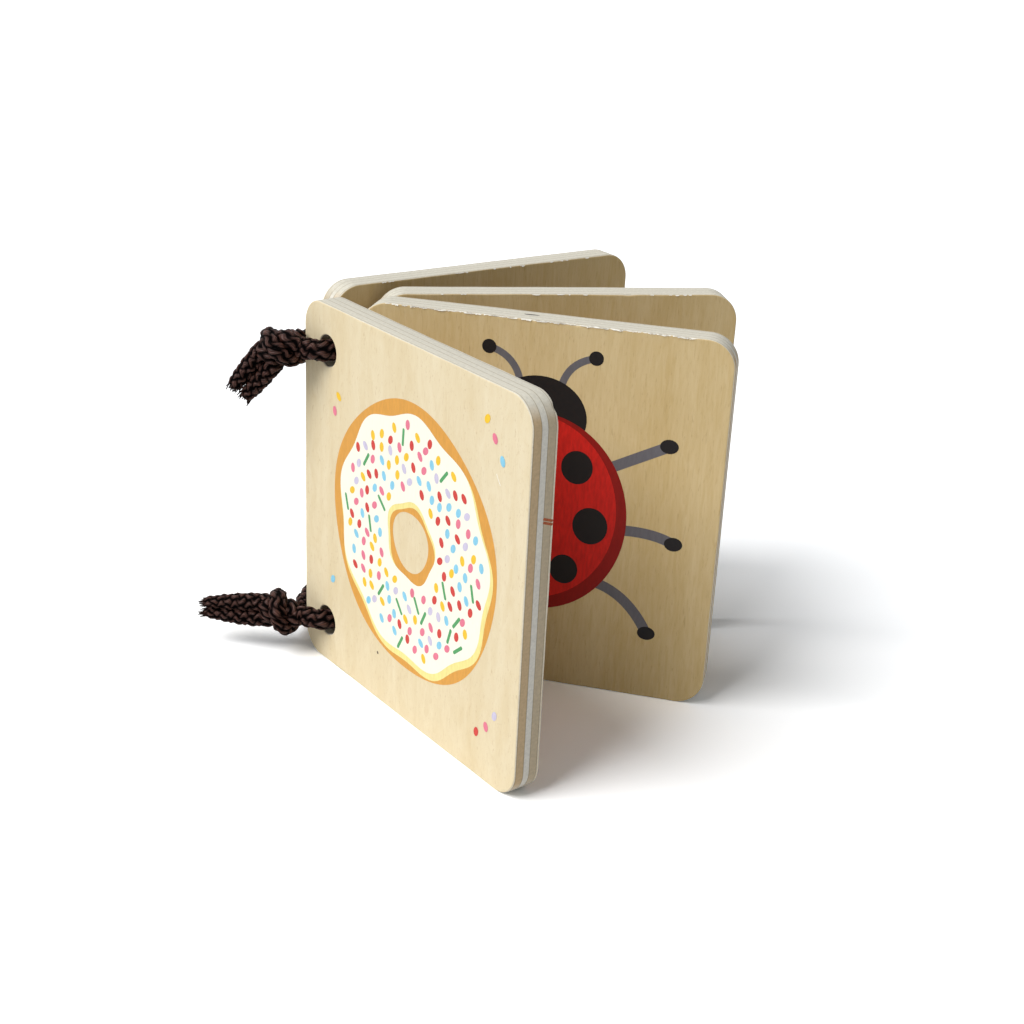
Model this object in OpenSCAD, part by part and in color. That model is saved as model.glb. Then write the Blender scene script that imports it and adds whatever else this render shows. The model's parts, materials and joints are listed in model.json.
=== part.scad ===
// Small wooden book: four plywood boards bound at the spine by two knotted cords.
// It stands fanned open on its lower edges. X runs out from the spine between the
// covers, Y from the front cover's side to the back cover's side, Z is up.

/* [Boards] */
// Height of a board
board_h = 80; // [60:1:120]
// Width of a board, from its spine edge to its fore edge
board_w = 77; // [60:1:120]
// Thickness of a five-ply board
board_t = 5.8; // [5.4:0.1:6.2]
// Radius of a board's four corners
corner_r = 6; // [2:0.5:8]
// Clearance between two boards when the book is shut
leaf_gap = 0.3; // [0.2:0.05:0.5]

/* [Cord holes] */
// Diameter of a cord hole
hole_d = 6.5; // [6.2:0.1:7.5]
// Distance of a hole's centre from the spine edge
hole_inset = 9; // [8.5:0.1:9.5]
// Distance of a hole's centre from the upper or lower edge
hole_end = 9.6; // [8:0.2:14]

/* [Fan at rest] */
// Angle between the front cover and the second board
front_open = 39; // [36:1:41]
// Angle between the second and the third board
middle_open = 23; // [20:1:25]
// Angle between the third board and the back cover
back_open = 25; // [22:1:28]

/* [Cords] */
// Diameter of a binding cord
cord_d = 4.2; // [3.4:0.1:4.4]
// Diameter of the cord where the boards pinch it
pinched_d = 3.2; // [2.6:0.1:3.3]
// Diameter of the cord in the knot, where it is pulled tight
knot_d = 3.4; // [3:0.1:3.5]
// Length of the knot along its own axis
knot_l = 6.6; // [6.4:0.1:8]
// How far the wrapping strand swells out in the middle of the knot
knot_swell = 1; // [0.8:0.1:1.3]
// Length of the upper cord's tails beyond the knot
upper_tail_l = 10.8; // [8:0.1:16]
// Length of the lower cord's tails beyond the knot
lower_tail_l = 14.6; // [8:0.1:18]
// Diameter of the upper cord's cut ends
upper_tip_d = 2.8; // [2.2:0.1:3.4]
// Diameter of the lower cord's cut ends, which are drawn out thin
lower_tip_d = 2; // [1.6:0.1:3.4]

/* [Hidden] */
$fn = 64;

wood = "#EAD9B2";
cord_brown = "#3A2320";

// Cuts run this far past the face that they pierce
over = 1;

// The shut book is a stack: each board lies one pitch behind the one before it
pitch = board_t + leaf_gap;
// Each board turns about an upright axis that the one before it carries. A pivot is
// [inset from the spine edges, depth from the front face] in the shut stack.
front_pivot_inset = 2;
front_pivot_depth = 3.3 * board_t;
middle_pivot_inset = 1.1;
middle_pivot_depth = 2.94 * board_t;
back_pivot_inset = -0.4;
back_pivot_depth = -0.46 * board_t;
pivots = [
    [front_pivot_inset, front_pivot_depth],
    [middle_pivot_inset, middle_pivot_depth],
    [back_pivot_inset, back_pivot_depth]
];
opens = [front_open, middle_open, back_open];
fan = front_open + middle_open + back_open;

function turned(p, a) = [p.x * cos(a) - p.y * sin(a), p.x * sin(a) + p.y * cos(a)];
function turned_about(p, c, a) = c + turned(p - c, a);
// A point of board k in the shut stack, carried by every hinge before it
function opened(p, k) = k == 0 ? p : opened(turned_about(p, pivots[k - 1], opens[k - 1]), k - 1);
function heading(k) = k == 0 ? -fan / 2 : heading(k - 1) + opens[k - 1];
// A point of board k given along it from its spine edge and back from its front face
function spread(k, along, depth) = turned(opened([along, k * pitch + depth], k), -fan / 2);

// The knots lie beside the front cover's spine corner
spine = spread(0, 0, 0);
knot_clear = 1.1;
knot_forward = 4.2;
knot_start = [spine.x - knot_clear, spine.y - knot_forward];
// How far a knot starts above its hole, then how far it and its tails lean down, in degrees
upper_knot_rise = 0.9;
upper_knot_lean = 36;
upper_tail_drop = 52;
lower_knot_rise = -0.4;
lower_knot_lean = 0;
lower_tail_drop = 4;
// The two tails of a cord lie side by side and close up towards their tips
strand_gap = 0.3;
tail_side = (knot_d + strand_gap) / 2;
tail_steps = 3;
function tail_apart(s, tip_d) = tail_side + ((tip_d + strand_gap) / 2 - tail_side) * s * s;
// The upper of the lower cord's two tips reaches furthest out
lower_tip_side = tail_apart(1, lower_tip_d);
tip_turn = atan((tail_apart(1 - 1 / tail_steps, lower_tip_d) - lower_tip_side) * tail_steps / lower_tail_l);
tail_tip_x = knot_start.x - knot_l * cos(lower_knot_lean) - lower_tail_l * cos(lower_tail_drop)
    - lower_tip_side * sin(lower_tail_drop) - lower_tip_d / 2 * sin(lower_tail_drop + tip_turn);

// The origin is under the middle of the whole part
corners = [for (k = [0:3], a = [0, board_w], d = [0, board_t]) spread(k, a, d)];
low = [min(concat([for (c = corners) c.x], [tail_tip_x])), min([for (c = corners) c.y])];
high = [max([for (c = corners) c.x]), max([for (c = corners) c.y])];
centre = (low + high) / 2;
function placed(k, along, depth) = spread(k, along, depth) - centre;

upper_hole_z = board_h - hole_end;
lower_hole_z = hole_end;

// A cord's way through the boards and round the spine:
// [board, along from the hole, back from the front face, rise above the hole]
threading = [
    [0, -4.4, -3.4, 0],
    [0, -0.8, -0.9, 0],
    [0, 0.2, 3.2, 0],
    [0, 1.8, 7.0, 0],
    [1, -3.7, -2.0, 0],
    [1, -0.6, -0.4, 0],
    [1, 1.0, 3.0, 0],
    [1, 1.4, 7.0, 0],
    [2, 0.2, 1.3, 0],
    [2, -0.2, 5.1, 0],
    [2, -2.5, 7.6, 0],
    [3, 3.0, -2.0, 0],
    [3, 0.5, 0.4, 0],
    [3, -0.4, 4.6, 0],
    [3, -2.1, 8.0, -0.4],
    [3, -5.6, 9.4, -1.6],
    [3, -9.7, 8.8, -3.2],
    [3, -13.1, 6.1, -4.2],
    [3, -15.9, 2.8, -4.6],
    [3, -18.4, -0.1, -3.0]
];
// The boards pinch the cord between these two entries
pinched = [3, 12];
function threaded(z) = [for (s = threading) concat(placed(s[0], hole_inset + s[1], s[2]), z + s[3])];

// One strand runs through the knot's core and the other wraps round it, from share 0 at the spine to 1
// at the tails, where the first lies on top
knot_turns = 1.25;
knot_steps = 12;
front_strand = 180;
back_strand = 0;
// Directions along a knot or tail that leans down by a, and square to that
function ahead_at(a) = [-cos(a), 0, -sin(a)];
function above_at(a) = [-sin(a), 0, cos(a)];
function knot_base(z) = concat(knot_start - centre, z);
function knot_r(s, phase) = tail_side + (phase == back_strand ? knot_swell : -knot_swell) * sin(180 * s);
function strand(s, phase, z, lean) =
    let (a = phase - 360 * knot_turns * s)
    knot_base(z) + knot_l * s * ahead_at(lean)
        + knot_r(s, phase) * (cos(a) * [0, 1, 0] + sin(a) * above_at(lean));
function wound(phase, z, lean) = [for (i = [0:knot_steps]) strand(i / knot_steps, phase, z, lean)];

// A tail hangs from the knot's end, above or below its fellow
function tail(phase, z, lean, drop, long, tip_d) =
    let (side = phase == front_strand ? 1 : -1, base = knot_base(z) + knot_l * ahead_at(lean))
    [for (i = [1:tail_steps])
        let (s = i / tail_steps)
        base + long * s * ahead_at(drop) + side * tail_apart(s, tip_d) * above_at(drop)];

function reversed(list) = [for (i = [len(list) - 1:-1:0]) list[i]];
function half(phase, z, lean, drop, long, tip_d) =
    concat(wound(phase, z, lean), tail(phase, z, lean, drop, long, tip_d));
// The whole cord from one tail's tip to the other's
function route(z, rise, lean, drop, long, tip_d) = concat(
    reversed(half(front_strand, z + rise, lean, drop, long, tip_d)),
    threaded(z),
    half(back_strand, z + rise, lean, drop, long, tip_d));
// The diameter at each point of the route
knot_points = knot_steps + 1 + tail_steps;
route_points = 2 * knot_points + len(threading);
function cord_width(i, tip_d) =
    i == 0 || i == route_points - 1 ? tip_d
    : i < knot_points || i >= route_points - knot_points ? knot_d
    : i >= knot_points + pinched[0] && i <= knot_points + pinched[1] ? pinched_d
    : cord_d;

function unit(v) = v / norm(v);
// A direction square to the heading d, kept as near to the one before it as it can be
function square_to(d, last) = unit(last - (last * d) * d);
function headings(path) = [for (i = [0:len(path) - 1])
    unit(path[min(i + 1, len(path) - 1)] - path[max(i - 1, 0)])];

// A round cord swept along a path of points, with ends of diameter tip_d
module swept_cord(path, tip_d, sides = 8) {
    ahead = headings(path);
    across = [for (i = 0, n = square_to(ahead[0], [0, 0, 1]); i < len(path);
        i = i + 1, n = square_to(ahead[min(i, len(path) - 1)], n)) n];
    rings = [for (i = [0:len(path) - 1], j = [0:sides - 1])
        let (a = 360 * j / sides)
        path[i] + cord_width(i, tip_d) / 2 * (cos(a) * across[i] + sin(a) * cross(ahead[i], across[i]))];
    walls = [for (i = [0:len(path) - 2], j = [0:sides - 1])
        [i * sides + j, (i + 1) * sides + j, (i + 1) * sides + (j + 1) % sides, i * sides + (j + 1) % sides]];
    first_end = [for (j = [0:sides - 1]) j];
    last_end = [for (j = [sides - 1:-1:0]) (len(path) - 1) * sides + j];
    polyhedron(rings, concat(walls, [first_end, last_end]));
}

// Outline of a board, seen from its face
module board_outline() {
    translate([corner_r, 0]) square([board_w - 2 * corner_r, board_h]);
    translate([0, corner_r]) square([board_w, board_h - 2 * corner_r]);
    for (x = [corner_r, board_w - corner_r], z = [corner_r, board_h - corner_r])
        translate([x, z]) circle(corner_r);
}

// Board k of the book, where it stands in the fan
module board(k) {
    color(wood)
        translate(placed(k, 0, 0)) rotate(heading(k))
            difference() {
                translate([0, board_t, 0]) rotate([90, 0, 0]) linear_extrude(board_t) board_outline();
                for (z = [lower_hole_z, upper_hole_z])
                    translate([hole_inset, -over, z]) rotate([-90, 0, 0])
                        cylinder(h = board_t + 2 * over, d = hole_d);
            }
}

module front_cover() { board(0); }
module second_board() { board(1); }
module third_board() { board(2); }
module back_cover() { board(3); }

// The upper cord's tails hang from the knot
module upper_cord() {
    color(cord_brown)
        swept_cord(
            route(upper_hole_z, upper_knot_rise, upper_knot_lean, upper_tail_drop, upper_tail_l, upper_tip_d),
            upper_tip_d);
}

// The lower cord's tails stand out nearly level from the knot
module lower_cord() {
    color(cord_brown)
        swept_cord(
            route(lower_hole_z, lower_knot_rise, lower_knot_lean, lower_tail_drop, lower_tail_l, lower_tip_d),
            lower_tip_d);
}

front_cover();
second_board();
third_board();
back_cover();
upper_cord();
lower_cord();
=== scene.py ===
"""Dresses a small wooden book: plywood boards, printed pictures, braided cords, floor, lamp and camera."""

import json
import logging
import math
from dataclasses import dataclass, field
from enum import Enum

import bpy
import numpy as np
from mathutils import Matrix, Vector
from mathutils.geometry import tessellate_polygon


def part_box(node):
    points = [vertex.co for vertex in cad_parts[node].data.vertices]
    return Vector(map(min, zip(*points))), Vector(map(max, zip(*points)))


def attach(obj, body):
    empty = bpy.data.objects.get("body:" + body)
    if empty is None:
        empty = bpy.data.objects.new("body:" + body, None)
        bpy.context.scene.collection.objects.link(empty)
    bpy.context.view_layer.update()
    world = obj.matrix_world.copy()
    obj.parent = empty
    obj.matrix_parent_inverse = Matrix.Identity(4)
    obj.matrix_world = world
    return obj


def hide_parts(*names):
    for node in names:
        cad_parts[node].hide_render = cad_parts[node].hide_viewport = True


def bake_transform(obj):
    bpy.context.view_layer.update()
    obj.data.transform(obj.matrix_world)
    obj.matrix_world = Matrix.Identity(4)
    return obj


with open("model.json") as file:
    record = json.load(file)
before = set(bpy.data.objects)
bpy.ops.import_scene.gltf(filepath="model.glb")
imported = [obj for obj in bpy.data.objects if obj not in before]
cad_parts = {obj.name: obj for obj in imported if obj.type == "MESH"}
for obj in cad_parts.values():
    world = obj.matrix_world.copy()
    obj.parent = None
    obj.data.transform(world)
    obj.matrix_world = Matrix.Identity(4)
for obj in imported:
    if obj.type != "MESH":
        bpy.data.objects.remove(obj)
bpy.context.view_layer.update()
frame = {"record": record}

LOG = logging.getLogger("wooden_book")
MM = 0.001
TURN = 2 * math.pi
# Triangles of a filled face that are smaller than this, in square millimetres, are left out
EMPTY_AREA = 1e-9


# Sizes and places

@dataclass(frozen=True)
class BookSizes:
    """The book's driving sizes, in millimetres, as the solids have them."""

    board_h: float = 80.0
    board_w: float = 77.0
    board_t: float = 5.8
    corner_r: float = 6.0
    leaf_gap: float = 0.3
    hole_d: float = 6.5
    hole_inset: float = 9.0
    hole_end: float = 9.6
    cord_d: float = 4.2
    pinched_d: float = 3.2
    knot_d: float = 3.4
    knot_l: float = 6.6
    knot_swell: float = 1.0


class Leaf(Enum):
    """The four boards, in the order in which they lie in the shut book."""

    FRONT_COVER = 0
    SECOND_BOARD = 1
    THIRD_BOARD = 2
    BACK_COVER = 3

    @property
    def node(self) -> str:
        """The name of the board's node and of the body that it moves with."""
        return self.name.lower()

    @property
    def slot(self) -> str:
        """The record's material slot of the board."""
        return "ply_" + self.node


@dataclass
class Stand:
    """Where one board stands in the fan, in millimetres and radians."""

    corner: np.ndarray
    heading: float

    @property
    def along(self) -> np.ndarray:
        """Direction from the spine edge to the fore edge."""
        return np.array([math.cos(self.heading), math.sin(self.heading)])

    @property
    def back(self) -> np.ndarray:
        """Direction from the front face to the back face."""
        return np.array([-math.sin(self.heading), math.cos(self.heading)])

    def to_row(self, local: np.ndarray) -> np.ndarray:
        """Carries points of the board to the book's own frame.

        Args:
            local: points as (along, back, up) in millimetres, the last axis being 3 long.

        Returns:
            The points in metres.
        """
        flat = self.corner + local[..., :1] * self.along + local[..., 1:2] * self.back
        return np.concatenate([flat, local[..., 2:]], axis=-1) * MM


@dataclass
class Fan:
    """Where the boards stand at rest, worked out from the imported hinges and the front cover's box."""

    sizes: BookSizes
    stands: list[Stand] = field(init=False)

    def __post_init__(self) -> None:
        """Opens the shut stack hinge by hinge: at the lower limit each board lies on the one before it."""
        hinges = frame["record"]["behaviour"]["joints"]
        opens = [-math.radians(h["range_deg"][0]) for h in hinges]
        heading = -sum(opens) / 2
        low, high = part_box(Leaf.FRONT_COVER.node)
        corner = np.array([low[0] / MM, high[1] / MM - self.sizes.board_t * math.cos(heading)])
        self.stands = [Stand(corner, heading)]
        pitch = self.sizes.board_t + self.sizes.leaf_gap
        for hinge, angle in zip(hinges, opens):
            last = self.stands[-1]
            axis = np.array(hinge["pos_m"][:2]) / MM
            shut = last.corner + pitch * last.back - axis
            turn = np.array([[math.cos(angle), -math.sin(angle)], [math.sin(angle), math.cos(angle)]])
            self.stands.append(Stand(axis + turn @ shut, last.heading + angle))

    def __getitem__(self, leaf: Leaf) -> Stand:
        """The place of one board."""
        return self.stands[leaf.value]


# Meshes

@dataclass
class Faces:
    """Faces of one kind: rows of corner numbers, how they are shaded and which material they take."""

    corners: np.ndarray
    smooth: bool = True
    material: int = 0


def make_piece(name: str, points: np.ndarray, faces: list[Faces],
               materials: list[bpy.types.Material]) -> bpy.types.Object:
    """Makes a mesh object at the origin from arrays.

    Args:
        name: the piece's name.
        points: corner points in metres, one row each.
        faces: the faces, by kind.
        materials: the materials that the faces' numbers refer to.

    Returns:
        The new object, linked to the scene.
    """
    mesh = bpy.data.meshes.new(name)
    amounts = [len(kind.corners) for kind in faces]
    counts = np.repeat([kind.corners.shape[1] for kind in faces], amounts)
    slots = np.repeat([kind.material for kind in faces], amounts)
    starts = np.concatenate([[0], np.cumsum(counts)[:-1]])
    loops = np.concatenate([kind.corners.ravel() for kind in faces])
    mesh.vertices.add(len(points))
    mesh.vertices.foreach_set("co", np.ascontiguousarray(points, np.float32).ravel())
    mesh.loops.add(len(loops))
    mesh.loops.foreach_set("vertex_index", loops.astype(np.int32))
    mesh.polygons.add(len(counts))
    mesh.polygons.foreach_set("loop_start", starts.astype(np.int32))
    mesh.polygons.foreach_set("use_smooth", np.repeat([kind.smooth for kind in faces], amounts))
    mesh.polygons.foreach_set("material_index", slots.astype(np.int32))
    for material in materials:
        mesh.materials.append(material)
    mesh.update(calc_edges=True)
    mesh.validate()
    piece = bpy.data.objects.new(name, mesh)
    bpy.context.scene.collection.objects.link(piece)
    return piece


def grid_faces(rows: int, columns: int, first: int = 0, flip: bool = False) -> np.ndarray:
    """Corner numbers of the quads of a grid of points stored row by row, whose rows form a ring.

    Args:
        rows: number of rows.
        columns: number of points in a row.
        first: number of the grid's first point.
        flip: turns the faces round.

    Returns:
        One row of four corner numbers for each quad.
    """
    i = np.arange(rows)[:, None]
    j = np.arange(columns - 1)[None, :]
    after = (i + 1) % rows
    quad = [i * columns + j, after * columns + j, after * columns + j + 1, i * columns + j + 1]
    corners = first + np.stack(np.broadcast_arrays(*quad), axis=-1).reshape(-1, 4)
    return corners[:, ::-1] if flip else corners


def tube_faces(amount: int, rings: int, sides: int, first: int, closed_start: bool) -> list[Faces]:
    """Faces of tubes that are stored tube by tube and ring by ring: their walls and their ends.

    Args:
        amount: how many tubes.
        rings: number of rings of a tube.
        sides: number of points of a ring.
        first: number of the first tube's first point.
        closed_start: closes the first ring as well as the last.

    Returns:
        The walls as quads, and each end as one face.
    """
    ring = np.arange(sides)
    starts = first + np.arange(amount)[:, None] * rings * sides
    by_side = np.arange(rings * sides).reshape(rings, sides).T.ravel()
    walls = starts[:, :, None] + by_side[grid_faces(sides, rings)]
    faces = [Faces(walls.reshape(-1, 4))]
    if closed_start:
        faces.append(Faces(starts + ring))
    faces.append(Faces(starts + (rings - 1) * sides + ring[::-1]))
    return faces


def filled(rings: list[np.ndarray]) -> np.ndarray:
    """Triangles that fill a flat outline, less its holes.

    Args:
        rings: the points of the outline and of each hole, two numbers to a point.

    Returns:
        One row of three corner numbers for each triangle, counted through all the rings.
    """
    return np.array(tessellate_polygon([np.insert(ring, 2, 0.0, axis=1) for ring in rings]))


def turned_right(flat: np.ndarray, corners: np.ndarray, anticlockwise: bool = True) -> np.ndarray:
    """Turns round the faces that run the wrong way, by the sign of their area, and leaves out empty ones.

    Args:
        flat: the points, two numbers to a point.
        corners: one row of corner numbers for each face.
        anticlockwise: which way the faces shall run.

    Returns:
        The rows of corner numbers, all running the same way.
    """
    a, b, c = (flat[corners[:, k]] for k in range(3))
    area = (b - a)[:, 0] * (c - a)[:, 1] - (b - a)[:, 1] * (c - a)[:, 0]
    wrong = (area < 0) if anticlockwise else (area > 0)
    turned = np.where(wrong[:, None], corners[:, ::-1], corners)
    return turned[np.abs(area) > EMPTY_AREA]


def store(piece: bpy.types.Object, name: str, values: np.ndarray) -> None:
    """Keeps one number for each point of a piece, for its material to read."""
    attribute = piece.data.attributes.new(name, "FLOAT", "POINT")
    attribute.data.foreach_set("value", values.astype(np.float32).ravel())


# Materials

def linear(hex_colour: str) -> tuple[float, float, float, float]:
    """Turns an sRGB colour into a linear one.

    Args:
        hex_colour: a hash sign and six hex digits.

    Returns:
        Linear red, green, blue and an alpha of one.
    """
    s = np.array([int(hex_colour[i:i + 2], 16) / 255 for i in (1, 3, 5)])
    rgb = np.where(s <= 0.04045, s / 12.92, ((s + 0.055) / 1.055) ** 2.4)
    return (*map(float, rgb), 1.0)


def add_node(tree: bpy.types.NodeTree, kind: str, inputs: dict | None = None, **settings) -> bpy.types.Node:
    """Adds a shader node.

    Args:
        tree: the material's or the world's node tree.
        kind: the node's type.
        inputs: socket name or number to a value, or to another node's output socket that feeds it.
        settings: attributes of the node.

    Returns:
        The new node.
    """
    made = tree.nodes.new(kind)
    for key, value in settings.items():
        setattr(made, key, value)
    for key, value in (inputs or {}).items():
        if isinstance(value, bpy.types.NodeSocket):
            tree.links.new(value, made.inputs[key])
        else:
            made.inputs[key].default_value = value
    return made


def new_material(name: str) -> tuple[bpy.types.Material, bpy.types.NodeTree]:
    """Makes a material with an empty node tree.

    Args:
        name: the material's name.

    Returns:
        The material and its node tree.
    """
    material = bpy.data.materials.new(name)
    material.use_nodes = True
    material.node_tree.nodes.clear()
    return material, material.node_tree


def finish_material(tree: bpy.types.NodeTree, inputs: dict) -> None:
    """Ends a material in one Principled shader with these inputs."""
    shader = add_node(tree, "ShaderNodeBsdfPrincipled", inputs)
    add_node(tree, "ShaderNodeOutputMaterial", {"Surface": shader.outputs[0]})


@dataclass(frozen=True)
class SandedPlywood:
    """Five-ply basswood board, sanded and left bare: pale silky faces, ply lines along every edge."""

    light: str = "#ECDDBC"
    dark: str = "#E2CFA8"
    pore: str = "#BFA070"
    end_brown: str = "#D3B891"
    end_tan: str = "#CDBC9F"
    long_pale: str = "#EBE6DA"
    veneer: str = "#F6EBD4"
    glue: str = "#A08968"
    top_pale: str = "#E2DCCC"
    top_line: str = "#B3A78D"
    roughness: float = 0.68
    specular: float = 0.2
    # Depths of the glue lines from the front face, in millimetres
    glue_lines: tuple[float, ...] = (0.35, 2.05, 3.5, 5.2)
    glue_width: float = 0.12
    # Sizes of the figure in the veneer, in millimetres: across and along the grain
    band: tuple[float, float] = (11.0, 80.0)
    streak: tuple[float, float] = (0.75, 6.5)
    vessel: tuple[float, float] = (0.3, 2.4)
    # How far the figure wanders sideways
    wander: float = 0.7
    # Between which heights of the noise the figure goes from light to dark, and a vessel shows as a pore
    tone_span: tuple[float, float] = (0.7, 1.3)
    pore_span: tuple[float, float] = (0.58, 0.8)
    pore_depth: float = 0.45
    # Size of the cut fibres on the edges, in millimetres, and how dark and how bright they make the edge
    fibre_mm: float = 0.625
    fibre_span: tuple[float, float] = (0.3, 0.75)
    fibre_shade: tuple[float, float] = (0.84, 1.1)
    # How far an edge has to face upwards to look like an upper edge
    level_span: tuple[float, float] = (0.35, 0.8)
    # Where the face veneer's flat begins, as a share of the thickness from the middle
    face_span: tuple[float, float] = (0.478, 0.492)
    bump_mm: float = 0.05
    bump_strength: float = 0.35

    def build(self, name: str, stand: Stand, sizes: BookSizes, seed: float) -> bpy.types.Material:
        """Makes the material of one board, in that board's own directions.

        Args:
            name: the material's name.
            stand: where the board stands.
            sizes: the book's sizes.
            seed: shifts the figure, so that no two boards look alike.

        Returns:
            The material.
        """
        material, tree = new_material(name)
        place = add_node(tree, "ShaderNodeTexCoord")
        turn = Matrix.Rotation(-stand.heading, 3, "Z")
        start = -(turn @ Vector((*stand.corner, 0)))
        local = add_node(tree, "ShaderNodeMapping", {
            "Vector": place.outputs["Object"], "Scale": (1 / MM,) * 3,
            "Rotation": (0, 0, -stand.heading), "Location": start}).outputs[0]
        split = add_node(tree, "ShaderNodeSeparateXYZ", {0: local})
        back = split.outputs[1]

        def figure(size: tuple[float, float], detail: float) -> bpy.types.NodeSocket:
            """Noise drawn out along the upright grain.

            Args:
                size: of the figure across and along the grain, in millimetres.
                detail: how many finer octaves it has.

            Returns:
                The noise's height.
            """
            across, along = size
            stretched = add_node(tree, "ShaderNodeMapping", {
                "Vector": local, "Scale": (1 / across, 1 / across, 1 / along),
                "Location": (seed, seed * 0.7, seed * 1.3)})
            return add_node(tree, "ShaderNodeTexNoise", {
                "Vector": stretched.outputs[0], "Scale": 1.0, "Detail": detail, "Roughness": 0.6,
                "Distortion": self.wander}).outputs[0]

        band = figure(self.band, 2.0)
        streak = figure(self.streak, 4.0)
        vessel = figure(self.vessel, 2.0)
        mixed = add_node(tree, "ShaderNodeMath", {0: band, 1: streak}, operation="ADD").outputs[0]
        tone = add_node(tree, "ShaderNodeMapRange", {
            0: mixed, "From Min": self.tone_span[0], "From Max": self.tone_span[1]}).outputs[0]
        face = add_node(tree, "ShaderNodeMix", {
            0: tone, 6: linear(self.light), 7: linear(self.dark)}, data_type="RGBA").outputs[2]
        pores = add_node(tree, "ShaderNodeMapRange", {
            0: vessel, "From Min": self.pore_span[0], "From Max": self.pore_span[1],
            "To Max": self.pore_depth}).outputs[0]
        face = add_node(tree, "ShaderNodeMix", {
            0: pores, 6: face, 7: linear(self.pore)}, data_type="RGBA").outputs[2]

        share = add_node(tree, "ShaderNodeMath", {0: back, 1: sizes.board_t}, operation="DIVIDE").outputs[0]
        upright_plies = (self.veneer, self.end_brown, self.long_pale, self.end_tan, self.veneer)
        ends = self.plies(tree, share, sizes, upright_plies, self.glue)
        tops = self.plies(tree, share, sizes, (self.top_pale,) * len(upright_plies), self.top_line)
        normal = add_node(tree, "ShaderNodeNewGeometry").outputs["Normal"]
        lift = add_node(tree, "ShaderNodeSeparateXYZ", {0: normal}).outputs[2]
        upright = add_node(tree, "ShaderNodeMath", {0: lift}, operation="ABSOLUTE").outputs[0]
        level = add_node(tree, "ShaderNodeMapRange", {
            0: upright, "From Min": self.level_span[0], "From Max": self.level_span[1]}).outputs[0]
        edge = add_node(tree, "ShaderNodeMix", {0: level, 6: ends, 7: tops}, data_type="RGBA").outputs[2]
        fibre = add_node(tree, "ShaderNodeTexNoise", {
            "Vector": local, "Scale": 1 / self.fibre_mm, "Detail": 6.0, "Roughness": 0.7}).outputs[0]
        worn = add_node(tree, "ShaderNodeMapRange", {
            0: fibre, "From Min": self.fibre_span[0], "From Max": self.fibre_span[1],
            "To Min": self.fibre_shade[0], "To Max": self.fibre_shade[1]}).outputs[0]
        edge = add_node(tree, "ShaderNodeVectorMath", {0: edge, 3: worn}, operation="SCALE").outputs[0]

        centred = add_node(tree, "ShaderNodeMath", {0: share, 1: 0.5}, operation="SUBTRACT").outputs[0]
        outward = add_node(tree, "ShaderNodeMath", {0: centred}, operation="ABSOLUTE").outputs[0]
        on_face = add_node(tree, "ShaderNodeMapRange", {
            0: outward, "From Min": self.face_span[0], "From Max": self.face_span[1]}).outputs[0]
        colour = add_node(tree, "ShaderNodeMix", {0: on_face, 6: edge, 7: face}, data_type="RGBA").outputs[2]
        grain = add_node(tree, "ShaderNodeMath", {0: streak, 1: vessel}, operation="ADD").outputs[0]
        height = add_node(tree, "ShaderNodeMath", {0: grain, 1: fibre}, operation="ADD").outputs[0]
        bump = add_node(tree, "ShaderNodeBump", {
            "Strength": self.bump_strength, "Distance": self.bump_mm * MM, "Height": height}).outputs[0]
        finish_material(tree, {"Base Color": colour, "Roughness": self.roughness,
                               "Specular IOR Level": self.specular, "Normal": bump})
        return material

    def plies(self, tree: bpy.types.NodeTree, share: bpy.types.NodeSocket, sizes: BookSizes,
              colours: tuple[str, ...], line: str) -> bpy.types.NodeSocket:
        """Colours across the thickness: each ply flat, with a thin line where two plies are glued.

        Args:
            tree: the material's node tree.
            share: place across the thickness, from 0 at the front face to 1 at the back face.
            sizes: the book's sizes.
            colours: of the plies, from the front face on.
            line: colour of the glue lines.

        Returns:
            The colour.
        """
        stops = [(0.0, colours[0])]
        for depth, before, after in zip(self.glue_lines, colours, colours[1:]):
            stops += [(depth - self.glue_width, before), (depth, line), (depth + self.glue_width, after)]
        stops.append((sizes.board_t, colours[-1]))
        ramp = add_node(tree, "ShaderNodeValToRGB", {0: share})
        elements = ramp.color_ramp.elements
        while len(elements) < len(stops):
            elements.new(1.0)
        for element, (depth, colour) in zip(elements, stops):
            element.position = depth / sizes.board_t
            element.color = linear(colour)
        return ramp.outputs[0]


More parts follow.
